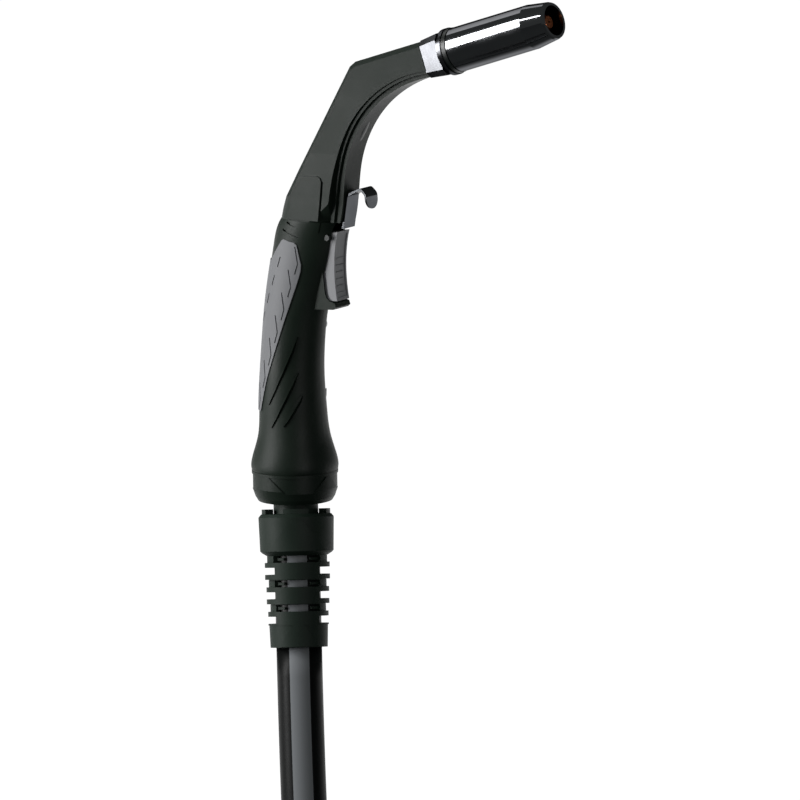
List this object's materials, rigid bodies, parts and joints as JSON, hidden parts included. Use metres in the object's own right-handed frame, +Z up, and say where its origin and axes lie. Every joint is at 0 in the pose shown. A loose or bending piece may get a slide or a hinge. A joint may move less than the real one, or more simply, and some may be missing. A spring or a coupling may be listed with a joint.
{
  "type": "mig welding torch",
  "caption": "Wire-feed welding torch: chrome gas nozzle on a moulded swan neck, gripped handle with trigger, ball-jointed cable support, coiled cable and machine plug.",
  "frame": {"origin": "underside of the hanging hook's top, where it rests on its peg", "axes": "+Z up the handle to the neck, +X towards the trigger and nozzle, +Y to the side away from the badge that faces the viewer"},
  "size_m": [0.2892, 0.4781, 0.5855],
  "materials": {
    "body_plastic": "charcoal glass-filled nylon with a faint green cast, fine moulded texture",
    "boot_plastic": "dark moulded nylon",
    "grip_rubber": "light grey soft-touch rubber",
    "trigger_plastic": "mid grey moulded plastic",
    "nozzle_chrome": "polished chrome plating",
    "collar_nickel": "bright nickel plating",
    "insulator_dark": "dark phenolic moulding",
    "spring_steel": "bright spring steel",
    "copper": "bare copper",
    "brass": "machined brass",
    "cable_rubber": "smooth black rubber sheath with a grey stripe",
    "plug_plastic": "black nylon",
    "sleeve_rubber": "black insulating rubber"
  },
  "bodies": {
    "cable_side": {"cable_boot": "boot_plastic", "cable_sheath_end": "cable_rubber", "power_core": "copper", "cable": "cable_rubber", "cable_coil": "cable_rubber", "cable_tail": "cable_rubber", "plug_strain_relief": "cable_rubber", "plug_shell_left": "plug_plastic", "plug_shell_right": "plug_plastic", "plug_brass_block": "brass", "plug_insulator": "insulator_dark", "plug_core": "copper", "plug_seal": "sleeve_rubber"},
    "ball": {"knuckle_ball": "boot_plastic"},
    "seat": {"knuckle_seat": "body_plastic"},
    "torch": {"handle_shell_left": "body_plastic", "handle_shell_right": "body_plastic", "grip_insert_left": "grip_rubber", "grip_insert_right": "grip_rubber", "handle_screws": "spring_steel", "neck_cover": "body_plastic", "neck_front_strip": "body_plastic", "neck_tube": "copper", "wire_liner": "spring_steel", "neck_insulation": "sleeve_rubber", "badge_panel_left": "body_plastic", "badge_panel_right": "body_plastic", "hanging_hook": "spring_steel", "neck_collar": "collar_nickel", "nozzle_insulator": "insulator_dark", "gas_diffuser": "brass", "contact_tip": "copper", "trigger_pin": "spring_steel", "microswitch": "insulator_dark", "rear_ring": "body_plastic"},
    "trigger": {"trigger": "trigger_plastic"},
    "plunger": {"switch_plunger": "insulator_dark"},
    "nozzle": {"nozzle": "nozzle_chrome"},
    "plug_nut": {"plug_nut": "plug_plastic"},
    "contact_a": {"plug_contact_a": "brass"},
    "contact_b": {"plug_contact_b": "brass"}
  },
  "joints": [
    {"name": "boot_swivel", "type": "hinge", "parent": "cable_side", "child": "ball", "pos_m": [-0.0404, 0, -0.1436], "axis": [-0.101, 0.1371, 0.9854], "range_deg": [-60, 60]},
    {"name": "knuckle_tilt", "type": "hinge", "parent": "ball", "child": "seat", "pos_m": [-0.0404, 0, -0.1436], "axis": [-0.8049, -0.5934, 0], "range_deg": [-3, 22.5]},
    {"name": "handle_swivel", "type": "hinge", "parent": "seat", "child": "torch", "pos_m": [-0.0404, 0, -0.1436], "axis": [0, 0, 1], "range_deg": [-60, 60]},
    {"name": "trigger_pull", "type": "hinge", "parent": "torch", "child": "trigger", "pos_m": [-0.0142, 0, -0.0224], "axis": [0, 1, 0], "range_deg": [0, 5], "stiffness_Nm_per_rad": 0.35, "springref_deg": -8.59},
    {"name": "switch_press", "type": "slide", "parent": "torch", "child": "plunger", "axis": [-1, 0, 0], "range_m": [0, 0.0022]},
    {"name": "nozzle_pull", "type": "slide", "parent": "torch", "child": "nozzle", "axis": [0.9505, 0, 0.3107], "range_m": [0, 0.07]},
    {"name": "nut_spin", "type": "hinge", "parent": "cable_side", "child": "plug_nut", "pos_m": [0.1609, -0.082, -0.45835], "axis": [0, 1, 0], "continuous": true},
    {"name": "contact_a_press", "type": "slide", "parent": "cable_side", "child": "contact_a", "axis": [0, -1, 0], "range_m": [0, 0.002], "stiffness_N_per_m": 400, "springref_m": -0.002},
    {"name": "contact_b_press", "type": "slide", "parent": "cable_side", "child": "contact_b", "axis": [0, -1, 0], "range_m": [0, 0.002], "stiffness_N_per_m": 400, "springref_m": -0.002}
  ],
  "couplings": [
    {"joint": "switch_press", "follows": "trigger_pull", "m_per_rad": 0.0225}
  ]
}
